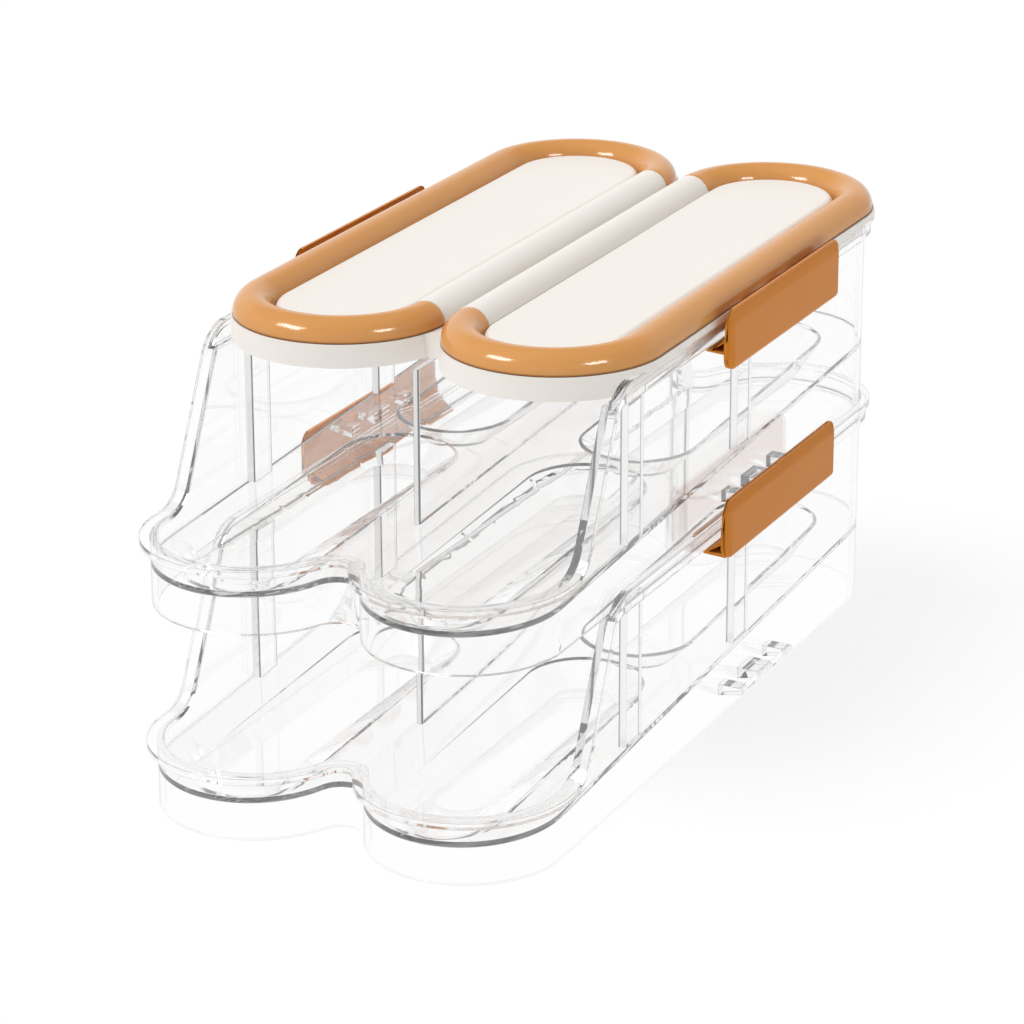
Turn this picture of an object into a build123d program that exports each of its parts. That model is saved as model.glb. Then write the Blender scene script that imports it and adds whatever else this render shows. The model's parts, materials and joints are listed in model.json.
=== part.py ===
from build123d import *
from math import sqrt
import os

# Two-tier rolling egg keeper: two clear two-lane bins stacked one in the other, and a white lid
# with two flip flaps, each inside an orange tubular ring. Four orange latches hold the stack.
# Millimetres. X runs across both lanes, the open front faces -Y, Z is up and 0 is the shelf.

# Clear bins
BIN_WIDTH = 150.0          # outside of the walls
BIN_LENGTH = 329.0         # outside of the walls, front lobe to rear lobe
BIN_HEIGHT = 80.4          # shelf to the top of the rear rim
WALL = 2.0
LOBE_GAP = 10.0            # between the inner flanks of the two lobes
SADDLE_RADIUS = 8.4        # hollow between the lobes, in plan
LIP_HEIGHT = 24.0          # low front lip
SWEEP_FOOT = 45.7          # from the front, where the side edge starts to climb
SWEEP_HEAD = 72.6          # from the front, where it reaches the rim
SWEEP_FOOT_RADIUS = 13.0
SWEEP_HEAD_RADIUS = 16.0
RIM_OUT = 3.6              # rim bead beyond the walls
RIM_THICK = 2.4
NEST_DEPTH = 6.0           # how far the piece above sinks into the collar
NEST_CLEARANCE = 0.4

# Egg track inside a bin
FLOOR_FRONT = 15.0         # top of the track at the front wall
FLOOR_REAR = 31.0          # top of the track at the rear wall
FLOOR_THICK = 2.0
POCKET_LEVEL = 14.0        # top of the level pocket bottoms
POCKET_BOTTOM = 21.0       # width of a pocket at its bottom
POCKET_MOUTH = 41.0        # and where it meets the track
POCKET_SPREAD = 1.0        # outside of a pocket beyond its inside
FRONT_POCKET = (4.0, 151.0)    # from the front, ends of the mouth
REAR_POCKET = (158.0, 313.0)
DIVIDER_THICK = 2.4
DIVIDER_FRONT = 78.0       # from the front
RIB_CENTRES = (94.3, 187.3)    # from the front
RIB_WIDTH = 12.0
RIB_DEPTH = 3.0

# Lid
LID_FRONT = 62.8           # front of the lid behind the front of the bin
LID_REAR = 0.4             # rear of the lid before the rear of the bin
LID_OVERHANG = 5.0         # lid edge beyond the bin walls
LID_PLATE = 2.4            # lid edge above the rim
SKIRT_CLEARANCE = 0.1      # above the shoulder that it hangs over
ROLL_GAP = 3.0             # between the two hinge rolls
LID_WEB = 12.0             # how far the joined middle reaches beyond the rolls
TUBE_RADIUS = 7.1
TUBE_INSET = 0.6           # tube inside the lid edge
TUBE_RISE = 0.8            # tube axis above the lid top
TUBE_SEAT = 1.6            # flat underside of the tube below the lid top
SEAT_CLEARANCE = 0.1       # groove around a ring
ROLL_CLEARANCE = 0.5       # trough around a turning roll
ROLL_END_GAP = 0.4
FLAP_CLEARANCE = 0.8       # between a flap and its ring
FLAP_SHUT_GAP = 0.2        # between a closed flap and the lid base
FLAP_HEIGHT = 3.6
FLAP_SHELL = 2.0
FLAP_EDGE_RADIUS = 2.4
FLAP_SEAT = 1.4            # width on which a closed flap rests
ROD_RADIUS = 1.5
ROD_SOCKET = 5.0           # depth of a ring's socket
ROD_CLEARANCE = 0.05

# Latches
LATCH_CENTRE = 197.0       # from the front
LATCH_LENGTH = 102.0
LATCH_TOP = 5.0            # above the pivot
LATCH_BOTTOM = 16.5        # below the pivot
LATCH_SKIN = 1.6
LATCH_BEVEL = 5.0          # height of the sloping top strip
LATCH_LEAN = 0.9           # how far that strip leans in
LATCH_CORNER = 5.0
LATCH_EDGE_RADIUS = 1.5
HEEL_DROP = 3.4            # the thick lower part of a cover starts below the pivot
HEEL_GAP = 0.2             # its inner face beyond the pivot
LID_PIVOT_OUT = 3.5        # pivot beyond the edge of the lid
BIN_PIVOT_OUT = 8.5        # pivot beyond the bin walls
BIN_PIVOT_HEIGHT = 12.0    # pivot above the bottom of a bin
BIN_LUG_ROOT = (9.0, 13.5)     # foot and head of a bin lug at the wall
PIVOT_RADIUS = LID_PLATE / 2
PIVOT_CLEARANCE = 0.08
BARREL_RADIUS = 2.0
BARREL_GAP = 0.3           # barrel to the lugs
LUG_GAP = 0.3              # bar to the cover
LUG_CENTRE = 190.0         # from the front
LUG_WIDTH = 6.0
MIDDLE_LUG_WIDTH = 12.0
BAR_LENGTH = 11.5
HOOK_LENGTH = 97.0
HOOK_REACH_GAP = 0.6       # hook tip to the wall
HOOK_CATCH_GAP = 0.3       # hook top to the collar
HOOK_WALL = 1.5
HOOK_RISE = 6.0            # upper arm at the cover above the hook top
HOOK_FALL = 0.6            # lower arm at the cover below its own tip

# Places that follow from the sizes above
FRONT = -BIN_LENGTH / 2
REAR = BIN_LENGTH / 2
SIDE = BIN_WIDTH / 2
SHOULDER = BIN_HEIGHT - NEST_DEPTH
UPPER_BASE = SHOULDER
LID_SEAT = UPPER_BASE + BIN_HEIGHT
LOBE_RADIUS = (SIDE - LOBE_GAP / 2) / 2
LOBE_X = SIDE - LOBE_RADIUS

LID_SIDE = SIDE + LID_OVERHANG
LID_LOBE_RADIUS = (LID_SIDE - ROLL_GAP / 2 + TUBE_INSET) / 2
LID_LOBE_X = LID_SIDE - LID_LOBE_RADIUS
LID_TOP = LID_SEAT + LID_PLATE
TUBE_Z = LID_TOP + TUBE_RISE
RING_SEAT = LID_TOP - TUBE_SEAT
RING_RADIUS = LID_LOBE_RADIUS - TUBE_INSET - TUBE_RADIUS
ROLL_X = LID_LOBE_X - RING_RADIUS
RING_FRONT = FRONT + LID_FRONT + LID_LOBE_RADIUS     # centre of a ring's front bend
RING_REAR = REAR - LID_REAR - LID_LOBE_RADIUS        # centre of its rear bend
FLAP_RADIUS = RING_RADIUS - TUBE_RADIUS - FLAP_CLEARANCE

LANE_X = (SIDE - WALL + DIVIDER_THICK / 2) / 2
BIN_PIVOT_X = SIDE + BIN_PIVOT_OUT
LID_PIVOT_X = LID_SIDE + LID_PIVOT_OUT
LID_PIVOT_Z = LID_SEAT + LID_PLATE / 2
LATCH_Y = FRONT + LATCH_CENTRE


def prism(face, low, high):
    """A plan face drawn at z = 0, made into a solid from low to high."""
    return extrude(Pos(0, 0, low) * face, high - low)


def across(points, half_width):
    """A closed (y, z) outline made into a solid from -half_width to half_width along X."""
    face = make_face(Polyline([(-half_width, y, z) for y, z in points], close=True))
    return extrude(face, 2 * half_width, dir=(1, 0, 0))


def along(points, low, high):
    """A closed (x, z) outline made into a solid from y = low to y = high."""
    face = make_face(Polyline([(x, low, z) for x, z in points], close=True))
    return extrude(face, high - low, dir=(0, 1, 0))


def rod(x, z, radius, low, high):
    """A round bar along Y."""
    return Pos(x, (low + high) / 2, z) * Rot(90, 0, 0) * Cylinder(radius, high - low)


def stadium(x, low, high, radius):
    """A plan face with round ends, from y = low to y = high."""
    return Pos(x, (low + high) / 2) * Rot(0, 0, 90) * SlotOverall(high - low, 2 * radius)


def mirrored(shape):
    return mirror(shape, about=Plane.YZ)


# ---- Clear bin ----

def bin_plan(grow):
    """Two round lobes at each end with a hollow between them, offset outwards by grow."""
    reach = LOBE_RADIUS + SADDLE_RADIUS
    saddle_y = REAR - LOBE_RADIUS + sqrt(reach ** 2 - LOBE_X ** 2)
    lobe_y = REAR - LOBE_RADIUS
    tangent = Vector(LOBE_X, lobe_y - saddle_y) / reach
    angle = -Vector(1, 0).get_signed_angle(tangent, Vector(0, 0, -1))
    radius = LOBE_RADIUS + grow
    hollow = SADDLE_RADIUS - grow
    saddle = CenterArc((0, saddle_y), hollow, -90, 90 + angle)
    lobe = CenterArc((LOBE_X, lobe_y), radius, 0, 180 + angle)
    flank = Line((LOBE_X + radius, lobe_y), (LOBE_X + radius, 0))
    quarter = Curve() + [saddle, lobe, flank]
    half = quarter + mirror(quarter, about=Plane.XZ)
    return make_face(half + mirror(half, about=Plane.YZ))


def side_profile(drop):
    """Below the side edge of a bin: low lip, swept climb and high rim, lowered by drop."""
    far = BIN_LENGTH
    edge = make_face(Polyline(
        [(0, -far, -far), (0, -far, LIP_HEIGHT), (0, FRONT + SWEEP_FOOT, LIP_HEIGHT),
         (0, FRONT + SWEEP_HEAD, BIN_HEIGHT), (0, far, BIN_HEIGHT), (0, far, -far)], close=True))
    foot = edge.vertices().sort_by_distance((0, FRONT + SWEEP_FOOT, LIP_HEIGHT))[0]
    edge = fillet(foot, SWEEP_FOOT_RADIUS)
    head = edge.vertices().sort_by_distance((0, FRONT + SWEEP_HEAD, BIN_HEIGHT))[0]
    edge = fillet(head, SWEEP_HEAD_RADIUS)
    if drop:
        edge = offset(edge, -drop)
    return extrude(Pos(-BIN_WIDTH, 0, 0) * edge, 2 * BIN_WIDTH, dir=(1, 0, 0))


def bin_walls():
    skin = prism(bin_plan(0) - bin_plan(-WALL), 0, SHOULDER)
    ledge = prism(bin_plan(NEST_CLEARANCE + WALL) - bin_plan(-WALL), SHOULDER - WALL, SHOULDER)
    collar = prism(bin_plan(NEST_CLEARANCE + WALL) - bin_plan(NEST_CLEARANCE), SHOULDER, BIN_HEIGHT)
    return (skin + ledge + collar) & side_profile(0)


def bin_rim():
    """The bead that follows the lip, the swept edges and the collar."""
    bead = side_profile(0) - side_profile(RIM_THICK)
    ring = prism(bin_plan(RIM_OUT) - bin_plan(-WALL), 0, BIN_HEIGHT)
    return (ring & bead) - prism(bin_plan(NEST_CLEARANCE), SHOULDER, BIN_HEIGHT)


def track_floor(thick):
    """The sloped track, and everything below its top when thick is large."""
    inside = prism(bin_plan(-WALL / 2), -FLOOR_REAR, 2 * FLOOR_REAR)
    slab = across([(FRONT, FLOOR_FRONT - thick), (FRONT, FLOOR_FRONT),
                   (REAR, FLOOR_REAR), (REAR, FLOOR_REAR - thick)], BIN_WIDTH)
    return inside & slab


def pocket(ends, grow, drop):
    """A long egg cradle: level bottom, sides that spread to a round-ended mouth on the track."""
    inset = (POCKET_MOUTH - POCKET_BOTTOM) / 2
    low, high = FRONT + ends[0] - grow, FRONT + ends[1] + grow
    slope = Vector(0, BIN_LENGTH, FLOOR_REAR - FLOOR_FRONT)
    across_slope = slope.cross(Vector(-1, 0, 0))
    middle = (FLOOR_FRONT + FLOOR_REAR) / 2 - drop
    track = Plane((0, 0, middle), x_dir=(1, 0, 0), z_dir=across_slope)
    mouth = track * stadium(LANE_X, low, high, POCKET_MOUTH / 2 + grow)
    bottom = Pos(0, 0, POCKET_LEVEL - drop) * stadium(
        LANE_X, low + inset, high - inset, POCKET_BOTTOM / 2 + grow)
    return loft([bottom.face(), mouth.face()], ruled=True) + extrude(mouth, WALL)


def egg_track():
    """Track floor with two sunk cradles in each lane."""
    tubs, cuts = [], []
    for ends in (FRONT_POCKET, REAR_POCKET):
        tub = pocket(ends, POCKET_SPREAD, FLOOR_THICK)
        cut = pocket(ends, 0, 0)
        tubs += [tub, mirrored(tub)]
        cuts += [cut, mirrored(cut)]
    return track_floor(FLOOR_THICK) + tubs - cuts


def divider():
    """The wall between the lanes, with a round nose, from the track to the shoulder."""
    low = FRONT + DIVIDER_FRONT
    saddle_y = REAR - LOBE_RADIUS + sqrt((LOBE_RADIUS + SADDLE_RADIUS) ** 2 - LOBE_X ** 2)
    high = saddle_y - SADDLE_RADIUS - WALL / 2
    nose = Pos(0, low) * Circle(DIVIDER_THICK / 2)
    sheet = Pos(0, (low + high) / 2) * Rectangle(DIVIDER_THICK, high - low)
    return prism(nose + sheet, 0, SHOULDER) - track_floor(FLOOR_REAR + FLOOR_FRONT)


def side_ribs():
    """Upright ribs inside the side walls, from the track to the shoulder."""
    ribs = []
    for centre in RIB_CENTRES:
        face = Rectangle(RIB_DEPTH + WALL / 2, RIB_WIDTH)
        middle = SIDE - WALL / 2 - (RIB_DEPTH + WALL / 2) / 2
        rib = prism(Pos(middle, FRONT + centre) * face, 0, SHOULDER)
        rib = rib - track_floor(FLOOR_REAR + FLOOR_FRONT)
        ribs += [rib, mirrored(rib)]
    return ribs


def lug_spans():
    """The three lugs of a latch hinge as (low, high) along Y."""
    centre = FRONT + LUG_CENTRE
    half_middle = MIDDLE_LUG_WIDTH / 2
    outer = half_middle + BAR_LENGTH
    return [(centre - outer - LUG_WIDTH, centre - outer),
            (centre - half_middle, centre + half_middle),
            (centre + outer, centre + outer + LUG_WIDTH)]


def hinge_lugs(root_x, root_low, root_high, pivot_x, pivot_z):
    """Lugs from a flat root out to the pivot, and the round bar that they hold."""
    spans = lug_spans()
    lugs = [rod(pivot_x, pivot_z, PIVOT_RADIUS, spans[0][0], spans[-1][1])]
    for low, high in spans:
        lugs.append(along([(root_x, root_low), (root_x, root_high),
                           (pivot_x, pivot_z + PIVOT_RADIUS),
                           (pivot_x, pivot_z - PIVOT_RADIUS)], low, high))
    return Part() + lugs


def clear_bin():
    lugs = hinge_lugs(SIDE - WALL / 2, *BIN_LUG_ROOT, BIN_PIVOT_X, BIN_PIVOT_HEIGHT)
    body = bin_walls() + bin_rim() + egg_track() + divider()
    return body + side_ribs() + [lugs, mirrored(lugs)]


# ---- Lid ----

def lid_plan(grow):
    """Two lobes joined along the middle, with a rounded hollow at each end."""
    low = RING_FRONT - LID_LOBE_RADIUS - grow
    high = RING_REAR + LID_LOBE_RADIUS + grow
    lobe = stadium(LID_LOBE_X, low, high, LID_LOBE_RADIUS + grow)
    web = Rectangle(2 * ROLL_X, RING_REAR - RING_FRONT + 2 * LID_WEB)
    return lobe + mirrored(lobe) + Pos(0, (RING_FRONT + RING_REAR) / 2) * web


def ring_tube(radius):
    """A C-shaped tube with a flat underside around a lobe, open along the hinge roll."""
    section = Pos(ROLL_X, RING_FRONT, TUBE_Z) * Rot(90, 0, 0) * Circle(radius)
    front = revolve(section, Axis((LID_LOBE_X, RING_FRONT, 0), (0, 0, 1)), 180)
    section = Pos(ROLL_X, RING_REAR, TUBE_Z) * Rot(90, 0, 0) * Circle(radius)
    rear = revolve(section, Axis((LID_LOBE_X, RING_REAR, 0), (0, 0, -1)), 180)
    outer_x = LID_LOBE_X + RING_RADIUS
    tube = front + rod(outer_x, TUBE_Z, radius, RING_FRONT, RING_REAR) + rear
    return tube - prism(Rectangle(2 * BIN_WIDTH, 2 * BIN_LENGTH), UPPER_BASE, RING_SEAT)


def lid_base():
    """Frame that hangs in the upper bin's collar, with a groove for each ring and roll."""
    plate = prism(lid_plan(0), LID_SEAT, LID_TOP)
    skirt = prism(lid_plan(0) & bin_plan(0),
                  UPPER_BASE + SHOULDER + SKIRT_CLEARANCE, LID_SEAT)
    opening_radius = FLAP_RADIUS - FLAP_SEAT
    opening = stadium(LID_LOBE_X, RING_FRONT - opening_radius, RING_REAR + opening_radius,
                      opening_radius)
    lugs = hinge_lugs(LID_SIDE - WALL, LID_SEAT, LID_TOP, LID_PIVOT_X, LID_PIVOT_Z)
    cut = (prism(opening, UPPER_BASE, TUBE_Z) + ring_tube(TUBE_RADIUS + SEAT_CLEARANCE)
           + rod(ROLL_X, TUBE_Z, TUBE_RADIUS + ROLL_CLEARANCE, RING_FRONT, RING_REAR))
    return plate + skirt + [lugs, mirrored(lugs)] - [cut, mirrored(cut)]


def trim_ring():
    socket = rod(ROLL_X, TUBE_Z, ROD_RADIUS + ROD_CLEARANCE,
                 RING_FRONT - ROD_SOCKET, RING_REAR + ROD_SOCKET)
    return ring_tube(TUBE_RADIUS) - socket


def hinge_rod():
    return rod(ROLL_X, TUBE_Z, ROD_RADIUS, RING_FRONT - ROD_SOCKET, RING_REAR + ROD_SOCKET)


def flap():
    """Pillow-edged panel with a hollow underside, and the roll that it turns on."""
    low = RING_FRONT + ROLL_END_GAP
    high = RING_REAR - ROLL_END_GAP
    under = LID_TOP + FLAP_SHUT_GAP
    plan = stadium(LID_LOBE_X, RING_FRONT - FLAP_RADIUS, RING_REAR + FLAP_RADIUS, FLAP_RADIUS)
    panel = prism(plan, under, under + FLAP_HEIGHT)
    panel = fillet(panel.edges().group_by(Axis.Z)[-1], FLAP_EDGE_RADIUS)
    inner = FLAP_RADIUS - FLAP_SEAT - FLAP_CLEARANCE
    hollow = stadium(LID_LOBE_X, RING_FRONT - inner, RING_REAR + inner, inner)
    panel = panel - prism(hollow, under, under + FLAP_HEIGHT - FLAP_SHELL)
    strap_end = LID_LOBE_X - FLAP_RADIUS + FLAP_SHELL
    strap = along([(ROLL_X, under), (strap_end, under), (strap_end, under + FLAP_SHELL),
                   (ROLL_X, under + FLAP_SHELL)], low, high)
    roll = rod(ROLL_X, TUBE_Z, TUBE_RADIUS, low, high)
    bore = rod(ROLL_X, TUBE_Z, ROD_RADIUS + ROD_CLEARANCE, low, high)
    return panel + strap + roll - bore


# ---- Latches ----

def latch(pivot_x, pivot_z, catch_z):
    """A cover that turns on the bars of its lugs, with a hook under the collar at catch_z."""
    inner = pivot_x + PIVOT_RADIUS + LUG_GAP
    outer = inner + LATCH_SKIN
    heel = pivot_x + HEEL_GAP
    top = pivot_z + LATCH_TOP
    bottom = pivot_z - LATCH_BOTTOM
    low = LATCH_Y - LATCH_LENGTH / 2
    high = LATCH_Y + LATCH_LENGTH / 2
    section = [(heel, bottom), (outer, bottom), (outer, top - LATCH_BEVEL),
               (outer - LATCH_LEAN, top), (inner, top), (inner, pivot_z - HEEL_DROP),
               (heel, pivot_z - HEEL_DROP - (inner - heel))]
    outline = Plane.YZ * RectangleRounded(LATCH_LENGTH, top - bottom, LATCH_CORNER)
    plate = extrude(Pos(heel, LATCH_Y, (top + bottom) / 2) * outline, outer - heel)
    plate = fillet(plate.faces().sort_by(Axis.X)[-1].edges(), LATCH_EDGE_RADIUS)
    cover = plate & along(section, low, high)

    first, middle, last = lug_spans()
    barrels = []
    for start, end in ((first[1], middle[0]), (middle[1], last[0])):
        start, end = start + BARREL_GAP, end - BARREL_GAP
        web = along([(pivot_x, pivot_z - BARREL_RADIUS), (pivot_x, pivot_z + BARREL_RADIUS),
                     (inner + LATCH_SKIN / 2, pivot_z + BARREL_RADIUS),
                     (inner + LATCH_SKIN / 2, pivot_z - BARREL_RADIUS)], start, end)
        barrels += [rod(pivot_x, pivot_z, BARREL_RADIUS, start, end), web]
    hole = rod(pivot_x, pivot_z, PIVOT_RADIUS + PIVOT_CLEARANCE, first[0], last[1])

    crown = catch_z - HOOK_CATCH_GAP
    tip = SIDE + HOOK_REACH_GAP
    seat = SIDE + NEST_CLEARANCE + WALL + HOOK_REACH_GAP
    sole = crown - HOOK_WALL
    root = heel + HOOK_WALL / 2
    arms = [(tip, crown), (seat, crown), (root, crown + HOOK_RISE), (root, sole - HOOK_FALL),
            (tip, sole)]
    window = [(seat, crown - HOOK_WALL / 2), (heel, crown + HOOK_RISE - 2 * HOOK_WALL),
              (heel, sole - HOOK_FALL + HOOK_WALL)]
    hook_low, hook_high = LATCH_Y - HOOK_LENGTH / 2, LATCH_Y + HOOK_LENGTH / 2
    hook = along(arms, hook_low, hook_high) - along(window, hook_low, hook_high)
    return cover + barrels + hook - hole


def write(name, shape):
    export_step(shape, f"parts/{name}.step")


def write_pair(name_left, name_right, shape):
    write(name_right, shape)
    write(name_left, mirrored(shape))


os.makedirs("parts", exist_ok=True)
egg_bin = clear_bin()
write("lower_bin", egg_bin)
write("upper_bin", Pos(0, 0, UPPER_BASE) * egg_bin)
write("lid_base", lid_base())
write_pair("left_trim_ring", "right_trim_ring", trim_ring())
write_pair("left_flap", "right_flap", flap())
write_pair("left_hinge_rod", "right_hinge_rod", hinge_rod())
catch = SHOULDER - WALL
write_pair("lid_latch_left", "lid_latch_right",
           latch(LID_PIVOT_X, LID_PIVOT_Z, UPPER_BASE + catch))
write_pair("bin_latch_left", "bin_latch_right",
           latch(BIN_PIVOT_X, UPPER_BASE + BIN_PIVOT_HEIGHT, catch))
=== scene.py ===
import json
import math
from itertools import combinations

import bmesh
import bpy
from mathutils import Matrix, Vector

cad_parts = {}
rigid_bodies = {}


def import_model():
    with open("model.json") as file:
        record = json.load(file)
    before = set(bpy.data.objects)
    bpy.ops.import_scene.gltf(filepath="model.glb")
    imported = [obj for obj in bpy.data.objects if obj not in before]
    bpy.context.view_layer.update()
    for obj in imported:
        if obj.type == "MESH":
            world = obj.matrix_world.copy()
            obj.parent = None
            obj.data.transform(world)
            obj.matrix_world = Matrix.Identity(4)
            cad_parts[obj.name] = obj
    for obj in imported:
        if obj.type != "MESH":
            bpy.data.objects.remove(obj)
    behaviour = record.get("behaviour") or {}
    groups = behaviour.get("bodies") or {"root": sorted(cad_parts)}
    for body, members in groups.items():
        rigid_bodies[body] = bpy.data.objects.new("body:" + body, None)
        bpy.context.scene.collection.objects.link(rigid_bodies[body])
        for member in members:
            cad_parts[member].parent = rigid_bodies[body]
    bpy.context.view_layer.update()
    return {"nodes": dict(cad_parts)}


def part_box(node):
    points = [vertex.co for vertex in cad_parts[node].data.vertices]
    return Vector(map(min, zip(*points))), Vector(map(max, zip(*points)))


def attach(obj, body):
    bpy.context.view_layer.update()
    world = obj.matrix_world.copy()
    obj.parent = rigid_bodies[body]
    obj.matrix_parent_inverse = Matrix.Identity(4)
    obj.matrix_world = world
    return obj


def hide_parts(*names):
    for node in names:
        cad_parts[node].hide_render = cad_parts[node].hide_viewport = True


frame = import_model()
nodes = frame["nodes"]


# ---- Camera ----
# A long lens looks down on the open front from the right, so both lanes, both lips and the lid
# show at once. The lens is shifted a little to frame the whole stack.

scene = bpy.context.scene
AZIMUTH, ELEVATION, ROLL = (math.radians(angle) for angle in (26.12, 19.93, -0.13))
AIM = Vector((0.00221, -0.00672, 0.08278))
DISTANCE = 1.4011
SENSOR = 36.0
PICTURE = 1024
FOCAL_PIXELS = 3884.9
CENTRE_PIXEL = (526.3, 481.2)

camera_data = bpy.data.cameras.new("camera")
camera_data.sensor_width = SENSOR
camera_data.lens = SENSOR * FOCAL_PIXELS / PICTURE
camera_data.shift_x = 0.5 - CENTRE_PIXEL[0] / PICTURE
camera_data.shift_y = CENTRE_PIXEL[1] / PICTURE - 0.5
camera = bpy.data.objects.new("camera", camera_data)
back = Vector((math.sin(AZIMUTH) * math.cos(ELEVATION), -math.cos(AZIMUTH) * math.cos(ELEVATION),
               math.sin(ELEVATION)))
level = Vector((math.cos(AZIMUTH), math.sin(AZIMUTH), 0))
rise = back.cross(level)
right = math.cos(ROLL) * level + math.sin(ROLL) * rise
up = math.cos(ROLL) * rise - math.sin(ROLL) * level
turned = Matrix((right, up, back)).transposed().to_4x4()
camera.matrix_world = Matrix.Translation(AIM + DISTANCE * back) @ turned
scene.collection.objects.link(camera)
scene.camera = camera


# ---- Clear bins ----
# Two egg bins injection moulded in clear styrene, each in one shot with its two sloping lanes,
# divider, side ribs and latch lugs. The upper bin's foot stands in the lower bin's collar. The
# polished walls carry a faint flow ripple. The ends of the divider and ribs have a painted glow
# with a painted dark outline, in place of light carried along the plastic to them.

BIN_EDGE = 0.0004                     # radius of a mould edge
BIN_TINT = (1.0, 1.0, 1.0)
BIN_ABSORPTION = 3.5                  # per metre of plastic
BIN_INDEX = 1.44
BIN_GLOSS = 0.2
FLOW_SCALE, FLOW_DETAIL = 38.0, 2.0
RIPPLE, RIPPLE_DEPTH = 0.03, 0.0004
RIM_PAINTED_SHADE = (0.05, 0.052, 0.055)      # painted shade: a dark tint where a wall is seen edge-on
RIM_FROM = 0.8
EDGE_PAINTED_SHADE = (0.28, 0.285, 0.295)     # painted shade: a dark line along each rounded mould edge
EDGE_TURN = (0.01, 0.12)
TRAPPED_FROM = 20.0                   # bounces after which light counts as trapped
# painted glow: the grey given off to a ray trapped past TRAPPED_FROM bounces
TRAPPED_PAINTED_GLOW = (0.34, 0.345, 0.35)

# The divider's round nose and the ends of the ribs, where the painted glow and its painted dark
# outline go
DIVIDER_HALF = 0.0016                 # reach to each side, just past the nose
LIP_END = -0.12                       # the front lip ends here, and the divider is behind it
NOSE_FACING = 0.3
NOSE_OUTLINE = (0.72, 0.82)
RIB_ZONE = (0.0695, 0.0735)           # from inside the ribs to inside the wall
RIB_FACING = 0.97
RIB_OUTLINE = (0.0704, 0.0707)
# painted glow colour, the painted dark outline round it, and its share of the mix
PIPED_PAINTED_GLOW = (0.86, 0.865, 0.87)
PIPED_PAINTED_OUTLINE = (0.2, 0.205, 0.21)
PAINTED_GLOW_SHARE = 0.8


class Value:
    """A socket of a node tree, on which + - and * add Math nodes."""

    def __init__(self, tree, socket):
        self.tree = tree
        self.socket = socket

    def math(self, operation, *others):
        return node_in(self.tree, "Math", {"operation": operation}, self, *others)

    def __add__(self, other):
        return self.math("ADD", other)

    def __radd__(self, other):
        return self.math("ADD", other)

    def __sub__(self, other):
        return self.math("SUBTRACT", other)

    def __rsub__(self, other):
        return node_in(self.tree, "Math", {"operation": "SUBTRACT"}, other, self)

    def __mul__(self, other):
        return self.math("MULTIPLY", other)

    def __rmul__(self, other):
        return self.math("MULTIPLY", other)

    def over(self, low, high):
        """0 below low, 1 above high and a straight ramp between."""
        return node_in(self.tree, "MapRange", {"clamp": True}, self, low, high, 0.0, 1.0)


def node_in(tree, kind, settings, *inputs, output=0, **named):
    """Adds a node of that kind, sets it, feeds its sockets by place or name, and returns an output."""
    node = tree.nodes.new(f"ShaderNode{kind}")
    for key, setting in settings.items():
        setattr(node, key, setting)
    fed = [(node.inputs[place], value) for place, value in enumerate(inputs) if value is not None]
    fed += [(node.inputs[name.replace("_", " ")], value) for name, value in named.items()]
    for socket, value in fed:
        if isinstance(value, Value):
            tree.links.new(value.socket, socket)
        elif isinstance(value, tuple) and len(value) == 3 and socket.type == "RGBA":
            socket.default_value = (*value, 1)
        else:
            socket.default_value = value
    return Value(tree, node.outputs[output]) if node.outputs else None


def new_material(name):
    """An empty material, and its node tree."""
    material = bpy.data.materials.new(name)
    material.use_nodes = True
    material.node_tree.nodes.clear()
    return material, material.node_tree


def mix_colour(tree, factor, low, high):
    """The colour low where the factor is 0, high where it is 1, and a mix between."""
    unused = [None] * 5
    return node_in(tree, "Mix", {"data_type": "RGBA"}, factor, *unused, low, high, output=2)


def dress(node, material):
    """Gives the node's own mesh that one material."""
    nodes[node].data.materials.clear()
    nodes[node].data.materials.append(material)


clear, tree = new_material("clear_styrene")
place = node_in(tree, "TexCoord", {}, output=3)
flow = node_in(tree, "TexNoise", {}, place, Scale=FLOW_SCALE, Detail=FLOW_DETAIL)
rounded = node_in(tree, "Bevel", {"samples": 4}, BIN_EDGE)
ripple = node_in(tree, "Bump", {}, Strength=RIPPLE, Distance=RIPPLE_DEPTH, Height=flow,
                 Normal=rounded)
# painted shade: a darker tint where the surface is seen edge-on
facing = node_in(tree, "LayerWeight", {}, Blend=0.5, output=1)
grazing_painted_shade = mix_colour(tree, facing.over(RIM_FROM, 1.0), BIN_TINT, RIM_PAINTED_SHADE)
# painted shade: a dark line where the rounded normal turns from the surface's own
surface_normal = node_in(tree, "NewGeometry", {}, output=1)
alike = node_in(tree, "VectorMath", {"operation": "DOT_PRODUCT"}, rounded, surface_normal, output=1)
turning = (1.0 - alike).over(*EDGE_TURN)
edge_painted_shade = mix_colour(tree, turning, grazing_painted_shade, EDGE_PAINTED_SHADE)
glass = node_in(tree, "BsdfPrincipled", {}, Base_Color=edge_painted_shade, Roughness=0.0, IOR=BIN_INDEX,
                Transmission_Weight=1.0, Specular_IOR_Level=BIN_GLOSS, Normal=ripple)

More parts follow.
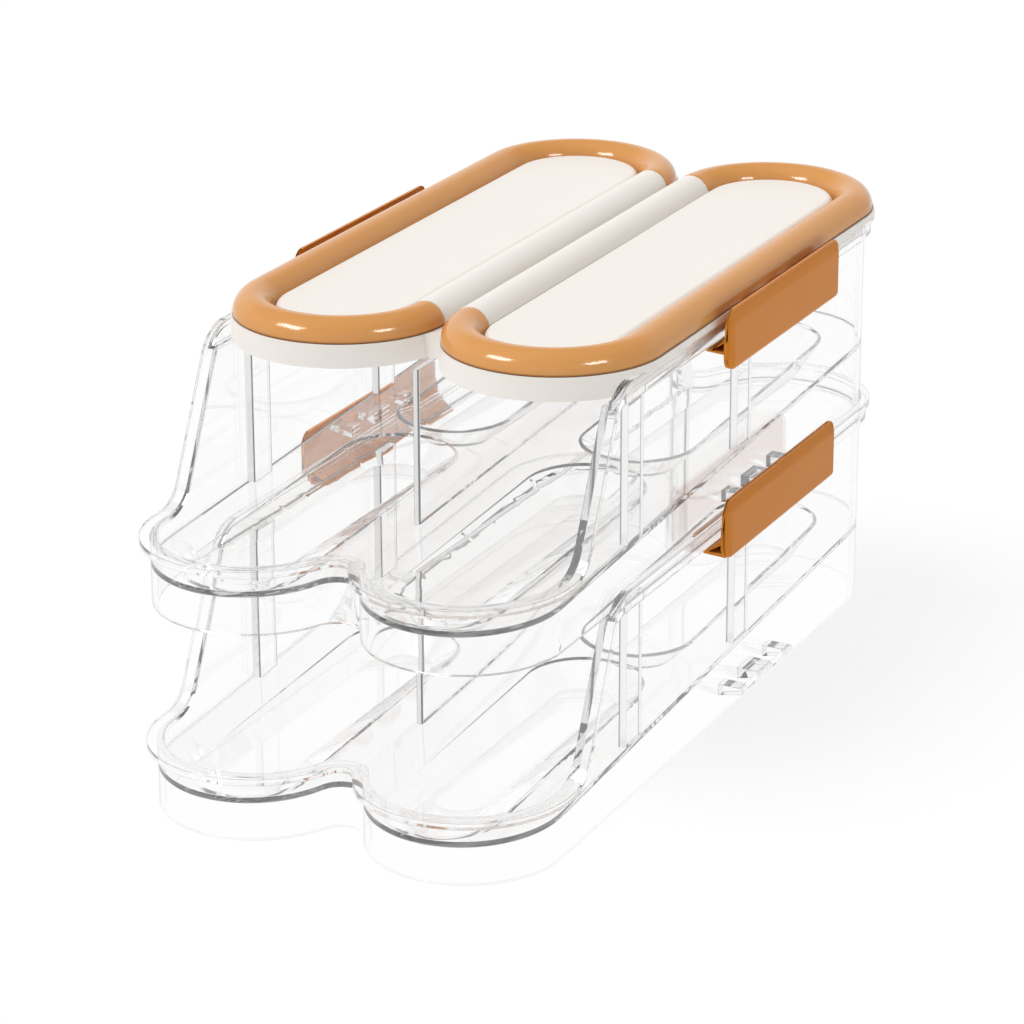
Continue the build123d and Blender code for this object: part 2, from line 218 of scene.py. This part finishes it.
# painted glow: the divider's nose and the rib ends give off light, with a painted dark outline
end_on = node_in(tree, "SeparateXYZ", {}, surface_normal, output=1).math("ABSOLUTE")
aside = node_in(tree, "SeparateXYZ", {}, place, output=0).math("ABSOLUTE")
behind_lip = node_in(tree, "SeparateXYZ", {}, place, output=1).math("GREATER_THAN", LIP_END)
nose = (aside.math("LESS_THAN", DIVIDER_HALF) * behind_lip
        * end_on.math("GREATER_THAN", NOSE_FACING))
rib_end = (aside.math("GREATER_THAN", RIB_ZONE[0]) * aside.math("LESS_THAN", RIB_ZONE[1])
           * end_on.math("GREATER_THAN", RIB_FACING))
painted_glow_centre = nose * end_on.over(*NOSE_OUTLINE) + rib_end * aside.over(*RIB_OUTLINE)
painted_glow_colour = mix_colour(tree, painted_glow_centre, PIPED_PAINTED_OUTLINE, PIPED_PAINTED_GLOW)
painted_glow_emission = node_in(tree, "Emission", {}, Color=painted_glow_colour, Strength=1.0)
plastic = node_in(tree, "MixShader", {}, (nose + rib_end) * PAINTED_GLOW_SHARE, glass, painted_glow_emission)

shadow_ray = node_in(tree, "LightPath", {}, output="Is Shadow Ray")
scattered_ray = node_in(tree, "LightPath", {}, output="Is Diffuse Ray")
see_through = node_in(tree, "BsdfTransparent", {}, Color=BIN_TINT)
# painted glow in place of light, for a ray trapped inside the plastic
trapped = node_in(tree, "LightPath", {}, output="Ray Depth").math("GREATER_THAN", TRAPPED_FROM)
trapped_painted_glow = node_in(tree, "Emission", {}, Color=TRAPPED_PAINTED_GLOW, Strength=1.0)
lit = node_in(tree, "MixShader", {}, trapped, plastic, trapped_painted_glow)
surface = node_in(tree, "MixShader", {}, shadow_ray.math("MAXIMUM", scattered_ray), lit, see_through)
soak = node_in(tree, "VolumeAbsorption", {}, Color=(0.0, 0.0, 0.0), Density=BIN_ABSORPTION)
node_in(tree, "OutputMaterial", {}, surface, soak)

dress("lower_bin", clear)
dress("upper_bin", clear)


# ---- Lid base ----
# The white frame that hangs in the upper bin's collar, moulded in ABS with a fine satin texture.
# It has a hollow for each egg mouth, a groove for each ring and roll, and lugs for its latches.

WHITE = (0.855, 0.815, 0.765)
WHITE_WARM = (0.84, 0.80, 0.745)
WHITE_ROUGHNESS = 0.36
CLOUD_SCALE, CLOUD_DETAIL = 22.0, 4.0
GRAIN_SCALE, GRAIN_DETAIL, GRAIN_DEPTH = 2600.0, 2.0, 0.0002
WAVE_SCALE, WAVE_DETAIL, WAVE, WAVE_DEPTH = 70.0, 1.0, 0.06, 0.0005
GLOSS_DROP, GLOSS_CLOUD, GLOSS_GRAIN = 0.05, 0.06, 0.04


def moulded_plastic(name, colour, second, roughness, grain=0.02, shine=0.25, index=1.5, foot_painted_shade=None):
    """Opaque plastic with flow colour, mould texture and uneven gloss, and a painted shade at its
    foot.
    """
    material, tree = new_material(name)
    place = node_in(tree, "TexCoord", {}, output=3)
    cloud = node_in(tree, "TexNoise", {}, place, Scale=CLOUD_SCALE, Detail=CLOUD_DETAIL)
    grains = node_in(tree, "TexNoise", {}, place, Scale=GRAIN_SCALE, Detail=GRAIN_DETAIL)
    waves = node_in(tree, "TexNoise", {}, place, Scale=WAVE_SCALE, Detail=WAVE_DETAIL)
    colour = mix_colour(tree, cloud, colour, second)
    gloss = roughness - GLOSS_DROP + cloud * GLOSS_CLOUD + grains * GLOSS_GRAIN
    fine = node_in(tree, "Bump", {}, Strength=grain, Distance=GRAIN_DEPTH, Height=grains)
    both = node_in(tree, "Bump", {}, Strength=WAVE, Distance=WAVE_DEPTH, Height=waves, Normal=fine)
    # painted shade: towards the bottom of the piece the colour turns to the shade
    if foot_painted_shade:
        shade, heights = foot_painted_shade
        height = node_in(tree, "SeparateXYZ", {}, node_in(tree, "TexCoord", {}), output=2)
        colour = mix_colour(tree, height.over(*heights), shade, colour)
    shader = node_in(tree, "BsdfPrincipled", {}, Base_Color=colour, Roughness=gloss, IOR=index,
                     Specular_IOR_Level=shine, Normal=both)
    node_in(tree, "OutputMaterial", {}, shader)
    return material


white = moulded_plastic("white_abs", WHITE, WHITE_WARM, WHITE_ROUGHNESS)
dress("lid_base", white)


# ---- Trim rings ----
# A C-shaped orange tube snapped into the groove around each lane's mouth. Each is moulded in ABS
# with a polished skin, and its two ends carry the steel rod that a flap turns on.

RING_EDGE = 0.0005
ORANGE = (0.68, 0.325, 0.108)
ORANGE_DEEP = (0.65, 0.30, 0.094)
ORANGE_ROUGHNESS = 0.14
ORANGE_GRAIN, ORANGE_SHINE = 0.01, 0.2
# painted shade: the foot of each ring darkened where it sits in the lid's groove, a painted contact
# shadow
RING_FOOT_PAINTED_SHADE = (0.16, 0.055, 0.015)
RING_FOOT_PAINTED_SHADE_RANGE = (0.179, 0.274)           # shares of a ring's height that the painted shade fades over
MERGE, WELD = 1e-6, 0.00002
CREASE = math.radians(32)             # a sharper fold than this is a mould edge
FLAT = math.radians(0.05)
ACUTE = math.radians(40)              # edges that meet closer than this have no room for a round
ROUND_STEPS = 3


def moulded_copy(node, radius):
    """A copy of a CAD node, its triangles merged and its sharp edges rounded where there is room."""
    mesh = nodes[node].data.copy()
    mesh.materials.clear()
    form = bmesh.new()
    form.from_mesh(mesh)
    bmesh.ops.remove_doubles(form, verts=form.verts, dist=MERGE)
    bmesh.ops.dissolve_limit(form, angle_limit=FLAT, verts=form.verts, edges=form.edges)
    bmesh.ops.remove_doubles(form, verts=form.verts, dist=WELD)
    short = [edge for edge in form.edges if edge.calc_length() < radius]
    cramped = {corner for edge in short for corner in edge.verts}
    sharp = [edge for edge in form.edges if edge.calc_face_angle(0) > CREASE]
    sharp_set = set(sharp)
    for corner in form.verts:
        ways = [(edge.other_vert(corner).co - corner.co).normalized()
                for edge in corner.link_edges if edge in sharp_set]
        if any(first.angle(second, 0) < ACUTE for first, second in combinations(ways, 2)):
            cramped.add(corner)
    roomy = [edge for edge in sharp if cramped.isdisjoint(edge.verts)]
    for face in form.faces:
        face.smooth = True
    for edge in sharp:
        edge.smooth = edge in roomy
    bmesh.ops.bevel(form, geom=roomy, offset=radius, segments=ROUND_STEPS, profile=0.5,
                    affect="EDGES")
    form.to_mesh(mesh)
    form.free()
    piece = bpy.data.objects.new(f"{node}_moulding", mesh)
    scene.collection.objects.link(piece)
    level_faces = piece.modifiers.new("level faces", "WEIGHTED_NORMAL")
    level_faces.weight = 100
    level_faces.keep_sharp = True
    return piece


orange = moulded_plastic("orange_abs", ORANGE, ORANGE_DEEP, ORANGE_ROUGHNESS, ORANGE_GRAIN,
                         ORANGE_SHINE, foot_painted_shade=(RING_FOOT_PAINTED_SHADE, RING_FOOT_PAINTED_SHADE_RANGE))
for ring_name in ("left_trim_ring", "right_trim_ring"):
    ring = moulded_copy(ring_name, RING_EDGE)
    ring.data.materials.append(orange)
    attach(ring, "stack")
    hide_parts(ring_name)


# ---- Hinge rods ----
# A drawn steel wire rod runs through each flap's roll into the sockets of its ring.
# Fine turning lines circle it, and only its ends in the sockets touch anything but the bore.

STEEL = (0.62, 0.61, 0.59)
STEEL_ROUGHNESS, STREAK_ROUGHNESS = 0.22, 0.1
STREAKS = (4000.0, 60.0, 4000.0)
SCRATCH, SCRATCH_DEPTH = 0.1, 0.0001

steel, tree = new_material("drawn_steel")
place = node_in(tree, "TexCoord", {}, output=3)
long_lines = node_in(tree, "Mapping", {}, place, Scale=STREAKS)
streaks = node_in(tree, "TexNoise", {}, long_lines, Scale=1.0, Detail=2.0)
scratch = node_in(tree, "Bump", {}, Strength=SCRATCH, Distance=SCRATCH_DEPTH, Height=streaks)
shader = node_in(tree, "BsdfPrincipled", {}, Base_Color=STEEL, Metallic=1.0,
                 Roughness=STEEL_ROUGHNESS + streaks * STREAK_ROUGHNESS, Normal=scratch)
node_in(tree, "OutputMaterial", {}, shader)
dress("left_hinge_rod", steel)
dress("right_hinge_rod", steel)


# ---- Flaps ----
# One white flap closes each lane: a pillow-edged panel and the long roll that it hinges on,
# moulded together in ABS. The roll's ends are chamfered where they meet the ring.

FLAP_EDGE = 0.0005
for flap_name in ("left_flap", "right_flap"):
    flap = moulded_copy(flap_name, FLAP_EDGE)
    flap.data.materials.append(white)
    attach(flap, flap_name)
    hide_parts(flap_name)


# ---- Latches ----
# Four orange side latches in ABS: a cover that turns on its hinge bar, and inside it a hook with
# a triangular section that catches under the collar of the bin below. A flat rim along the top,
# front and rear of the cover's face leans in a little.

LATCH_EDGE = 0.0007
LATCH_ORANGE = (0.64, 0.23, 0.032)
LATCH_DEEP = (0.61, 0.21, 0.026)
LATCH_ROUGHNESS, LATCH_SHINE, LATCH_INDEX = 0.3, 0.3, 1.2
STRIP, STRIP_LEAN = 0.0034, 0.0013    # the rim round a cover's face, and how far it leans in

deep_orange = moulded_plastic("latch_abs", LATCH_ORANGE, LATCH_DEEP, LATCH_ROUGHNESS,
                              shine=LATCH_SHINE, index=LATCH_INDEX)
for latch_name in ("lid_latch_left", "lid_latch_right", "bin_latch_left", "bin_latch_right"):
    latch = moulded_copy(latch_name, LATCH_EDGE)
    latch.data.materials.append(deep_orange)
    low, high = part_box(latch_name)
    side = max(abs(low.x), abs(high.x))
    rims = [(Vector(out), reach - STRIP) for out, reach in
            (((0, 0, 1), high.z), ((0, -1, 0), -low.y), ((0, 1, 0), high.y))]
    form = bmesh.new()
    form.from_mesh(latch.data)
    for out, start in rims:
        bmesh.ops.bisect_plane(form, geom=form.verts[:] + form.edges[:] + form.faces[:], dist=MERGE,
                               plane_co=out * start, plane_no=out)
    for corner in form.verts:
        beyond = max(corner.co.dot(out) - start for out, start in rims)
        if abs(corner.co.x) > side - STRIP_LEAN and beyond > 0:
            corner.co.x -= math.copysign(STRIP_LEAN * beyond / STRIP, corner.co.x)
    form.to_mesh(latch.data)
    form.free()
    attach(latch, latch_name)
    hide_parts(latch_name)


# ---- Studio ----
# A pale floor, an even sky that is dim overhead, a soft sun and two window lamps. The floor glows
# where a camera, a reflection or the clear plastic looks at it, and keeps a soft shadow.

WHITE_LIGHT = (1.0, 1.0, 1.0)
PAPER = (0.95, 0.95, 0.95)
FLOOR_SIZE = 30.0
FLOOR_GLOW = 0.8                      # how much of the glow a camera sees
SKY_LIGHT = 0.58
CEILING_FROM = (0.42, 0.66)           # upward part of a ray where the ceiling starts and is full
CEILING_LIGHT = 0.06
BOUNCES, CLEAR_BOUNCES = 28, 64
SUN_PLACE, SUN_POWER, SUN_ANGLE = (-0.9, -0.7, 2.4), 1.85, math.radians(35)
LAMP_AIM = (0, 0, 0.1)
WINDOWS = (("window_left", (-0.9, -1.1, 1.3), (0.7, 0.45), 42.0),
           ("window_right", (1.3, -0.5, 1.0), (0.5, 0.3), 20.0))

scene.view_settings.view_transform = "Standard"
scene.cycles.max_bounces = BOUNCES
scene.cycles.transmission_bounces = BOUNCES
scene.cycles.glossy_bounces = BOUNCES
scene.cycles.transparent_max_bounces = CLEAR_BOUNCES


def seen_directly(tree, from_camera=1.0):
    """1 for a reflection or clear plastic, from_camera for the camera, and 0 for any other ray."""
    camera_ray, glossy_ray, through_ray = (
        node_in(tree, "LightPath", {}, output=f"Is {way} Ray")
        for way in ("Camera", "Glossy", "Transmission"))
    return (camera_ray * from_camera).math("MAXIMUM", glossy_ray).math("MAXIMUM", through_ray)


half = FLOOR_SIZE / 2
floor_mesh = bpy.data.meshes.new("floor")
floor_mesh.from_pydata([(-half, -half, 0), (half, -half, 0), (half, half, 0), (-half, half, 0)],
                       [], [(0, 1, 2, 3)])
floor = bpy.data.objects.new("floor", floor_mesh)
scene.collection.objects.link(floor)
paper, tree = new_material("white_paper")
matt = node_in(tree, "BsdfDiffuse", {}, Color=PAPER)
glow = node_in(tree, "Emission", {}, Color=WHITE_LIGHT, Strength=1.0)
surface = node_in(tree, "MixShader", {}, seen_directly(tree, FLOOR_GLOW), matt, glow)
node_in(tree, "OutputMaterial", {}, surface)
floor_mesh.materials.append(paper)

sky = bpy.data.worlds.new("sky")
sky.use_nodes = True
sky.node_tree.nodes.clear()
tree = sky.node_tree
outward = node_in(tree, "TexCoord", {}, output=0)
overhead = node_in(tree, "SeparateXYZ", {}, outward, output=2).over(*CEILING_FROM)
not_camera = 1.0 - node_in(tree, "LightPath", {}, output="Is Camera Ray")
light = node_in(tree, "Background", {}, Color=WHITE_LIGHT, Strength=SKY_LIGHT)
bright = node_in(tree, "Background", {}, Color=WHITE_LIGHT, Strength=1.0)
dim = node_in(tree, "Background", {}, Color=WHITE_LIGHT, Strength=CEILING_LIGHT)
seen = node_in(tree, "MixShader", {}, overhead * not_camera, bright, dim)
surface = node_in(tree, "MixShader", {}, seen_directly(tree), light, seen)
node_in(tree, "OutputWorld", {}, surface)
scene.world = sky


def lamp(name, kind, place, energy):
    """A lamp of that kind at that place, aimed at the middle of the stack."""
    data = bpy.data.lights.new(name, kind)
    data.energy = energy
    thing = bpy.data.objects.new(name, data)
    thing.location = place
    thing.rotation_euler = (Vector(LAMP_AIM) - Vector(place)).to_track_quat("-Z", "Y").to_euler()
    scene.collection.objects.link(thing)
    return thing


opaque = bpy.data.collections.new("opaque_pieces")
for piece in scene.objects:
    if piece.type == "MESH" and piece not in (floor, nodes["lower_bin"], nodes["upper_bin"]):
        opaque.objects.link(piece)

sun = lamp("sun", "SUN", SUN_PLACE, SUN_POWER)
sun.data.angle = SUN_ANGLE
sun.visible_glossy = False
for name, place, size, energy in WINDOWS:
    window = lamp(name, "AREA", place, energy)
    window.data.shape = "RECTANGLE"
    window.data.size, window.data.size_y = size
    window.visible_diffuse = window.visible_transmission = False
    window.light_linking.receiver_collection = opaque

bpy.context.view_layer.update()
